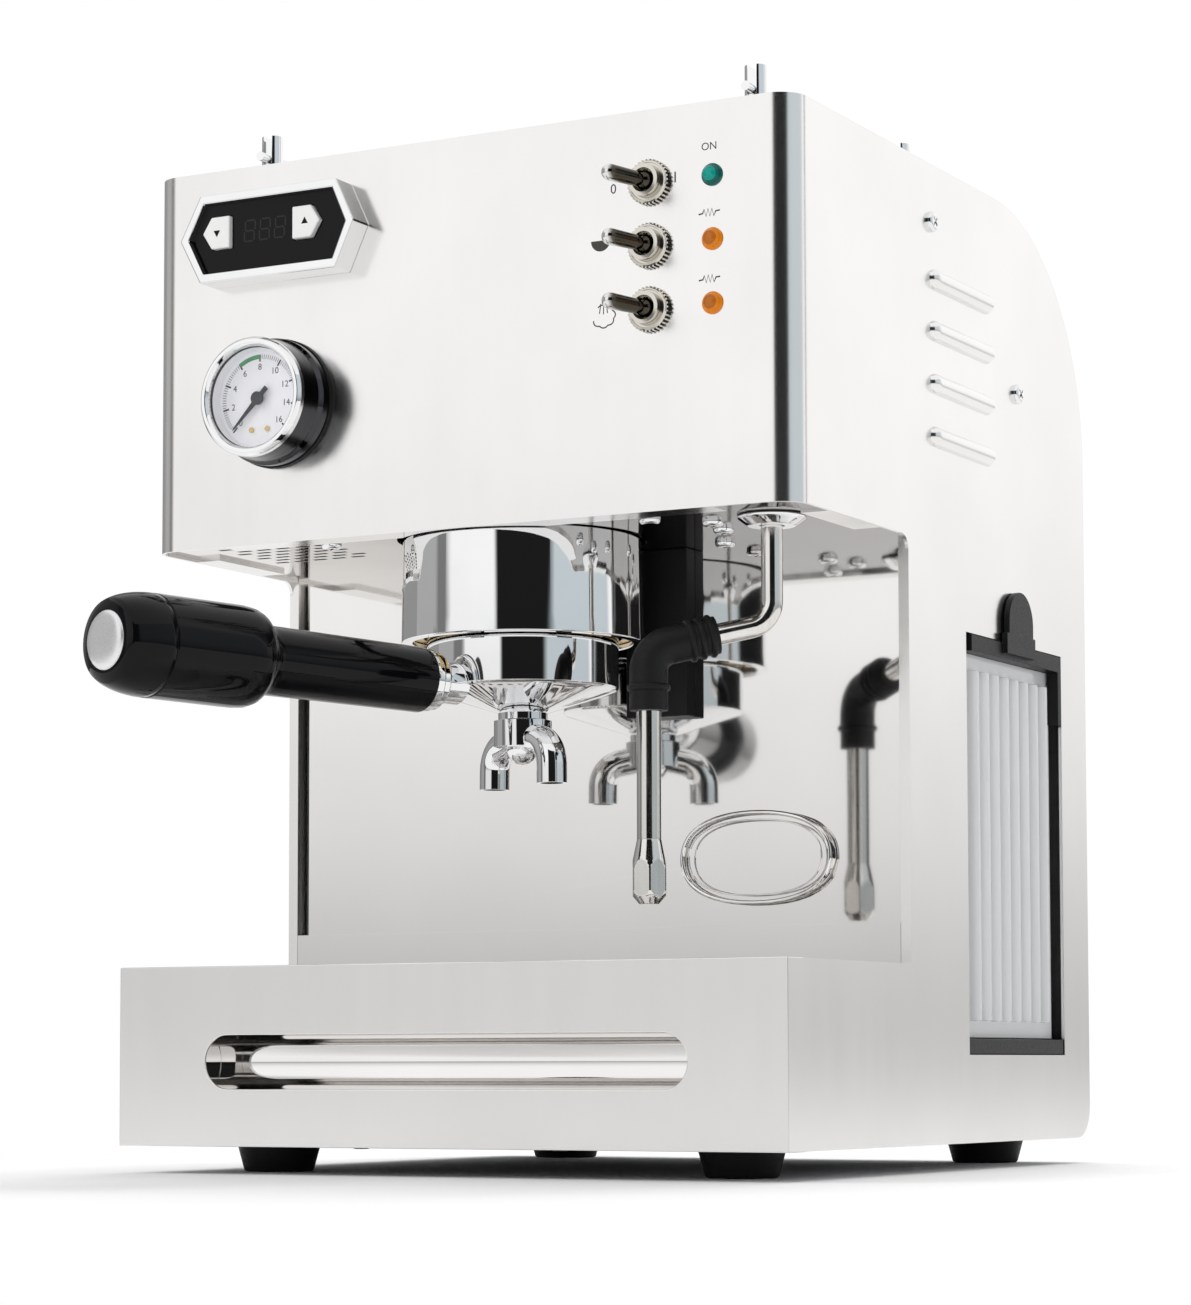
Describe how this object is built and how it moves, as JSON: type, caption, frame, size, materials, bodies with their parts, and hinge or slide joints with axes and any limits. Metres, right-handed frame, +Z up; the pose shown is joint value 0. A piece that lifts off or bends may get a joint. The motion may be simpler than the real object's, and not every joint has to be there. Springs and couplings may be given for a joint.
{
  "type": "espresso machine",
  "caption": "Box-shaped home espresso machine with a bayonet portafilter, swivelling steam wand, sliding drip tray, side water tank, pressure gauge, display and toggle switches.",
  "frame": {"origin": "bench level, under the middle of the whole machine including the handle", "axes": "+Z up, +Y towards the machine's rear, +X to the right seen from the front"},
  "size_m": [0.256, 0.3874, 0.3675],
  "materials": {
    "satin_steel": "satin stainless sheet",
    "polished_steel": "mirror-polished stainless",
    "chrome": "bright chrome plate",
    "black_gloss": "glossy moulded black",
    "black_matte": "moulded black",
    "white_plastic": "moulded white",
    "rubber": "soft black rubber",
    "dial_white": "printed dial",
    "needle_black": "black enamel",
    "clear": "clear moulded",
    "green_lamp": "teal lens",
    "amber_lamp": "amber lens",
    "brass": "cast and turned",
    "nickel": "nickel plate",
    "aluminium": "die cast",
    "zinc_steel": "zinc plate",
    "tube_plastic": "translucent tubing"
  },
  "bodies": {
    "machine": {"backsplash": "polished_steel", "base_pan": "zinc_steel", "boiler": "brass", "casing": "satin_steel", "control_box": "black_matte", "cord_inlet": "black_matte", "cup_rail": "chrome", "display_bezel": "chrome", "display_panel": "black_gloss", "equipment_shelf": "zinc_steel", "feet": "rubber", "foot_screws": "zinc_steel", "gauge_bezel": "chrome", "gauge_case": "black_matte", "gauge_dial": "dial_white", "gauge_lens": "clear", "gauge_seat": "rubber", "group_bell": "chrome", "group_gasket": "rubber", "group_head": "brass", "heater_flange": "brass", "lamp_green": "green_lamp", "lamps_amber": "amber_lamp", "panel_screws": "chrome", "pumps": "black_gloss", "rail_posts": "chrome", "rear_cover": "satin_steel", "shower_screen": "chrome", "steam_block": "aluminium", "switch_bodies": "nickel", "switch_nuts": "chrome", "tank_cradle": "black_matte", "top_cover": "satin_steel", "underside_plate": "polished_steel", "valve_coil": "black_matte", "wand_nut": "chrome", "wand_valve_body": "brass", "water_lines": "tube_plastic"},
    "portafilter": {"portafilter_bowl": "chrome", "filter_basket": "chrome", "handle_ferrule": "chrome", "handle": "black_gloss", "handle_cap": "nickel", "twin_spout": "chrome"},
    "wand": {"wand_pipe": "chrome", "wand_grip": "rubber", "wand_tip": "chrome"},
    "tray": {"tray_front": "satin_steel", "finger_pull": "polished_steel", "drip_tray": "satin_steel"},
    "grid": {"drip_grid": "satin_steel"},
    "tank": {"water_tank": "clear", "tank_lid": "black_matte"},
    "needle": {"gauge_needle": "needle_black"},
    "power_lever": {"lever_power": "chrome"},
    "brew_lever": {"lever_brew": "chrome"},
    "steam_lever": {"lever_steam": "chrome"},
    "down_key": {"button_down": "white_plastic"},
    "up_key": {"button_up": "white_plastic"}
  },
  "joints": [
    {"name": "portafilter_turn", "type": "hinge", "parent": "machine", "child": "portafilter", "pos_m": [0, -0.02446, 0.18], "axis": [0, 0, 1], "range_deg": [-35, 0]},
    {"name": "wand_swivel", "type": "hinge", "parent": "machine", "child": "wand", "pos_m": [0.1, -0.03446, 0.2], "axis": [0, 0, 1], "range_deg": [-35, 110]},
    {"name": "tray_slide", "type": "slide", "parent": "machine", "child": "tray", "axis": [0, -1, 0], "range_m": [0, 0.2]},
    {"name": "grid_lift", "type": "slide", "parent": "tray", "child": "grid", "axis": [0, 0, 1], "range_m": [0, 0.014]},
    {"name": "tank_slide", "type": "slide", "parent": "machine", "child": "tank", "axis": [1, 0, 0], "range_m": [0, 0.11]},
    {"name": "needle_sweep", "type": "hinge", "parent": "machine", "child": "needle", "pos_m": [-0.072, -0.08046, 0.264], "axis": [0, 1, 0], "range_deg": [0, 250], "stiffness_Nm_per_rad": 0.00001},
    {"name": "power_toggle", "type": "hinge", "parent": "machine", "child": "power_lever", "pos_m": [0.073, -0.07186, 0.324], "axis": [0, 0, 1], "range_deg": [0, 34]},
    {"name": "brew_toggle", "type": "hinge", "parent": "machine", "child": "brew_lever", "pos_m": [0.073, -0.07186, 0.303], "axis": [0, 0, 1], "range_deg": [0, 34]},
    {"name": "steam_toggle", "type": "hinge", "parent": "machine", "child": "steam_lever", "pos_m": [0.073, -0.07186, 0.282], "axis": [0, 0, 1], "range_deg": [0, 34]},
    {"name": "down_press", "type": "slide", "parent": "machine", "child": "down_key", "axis": [0, 1, 0], "range_m": [0, 0.0008], "stiffness_N_per_m": 800},
    {"name": "up_press", "type": "slide", "parent": "machine", "child": "up_key", "axis": [0, 1, 0], "range_m": [0, 0.0008], "stiffness_N_per_m": 800}
  ]
}
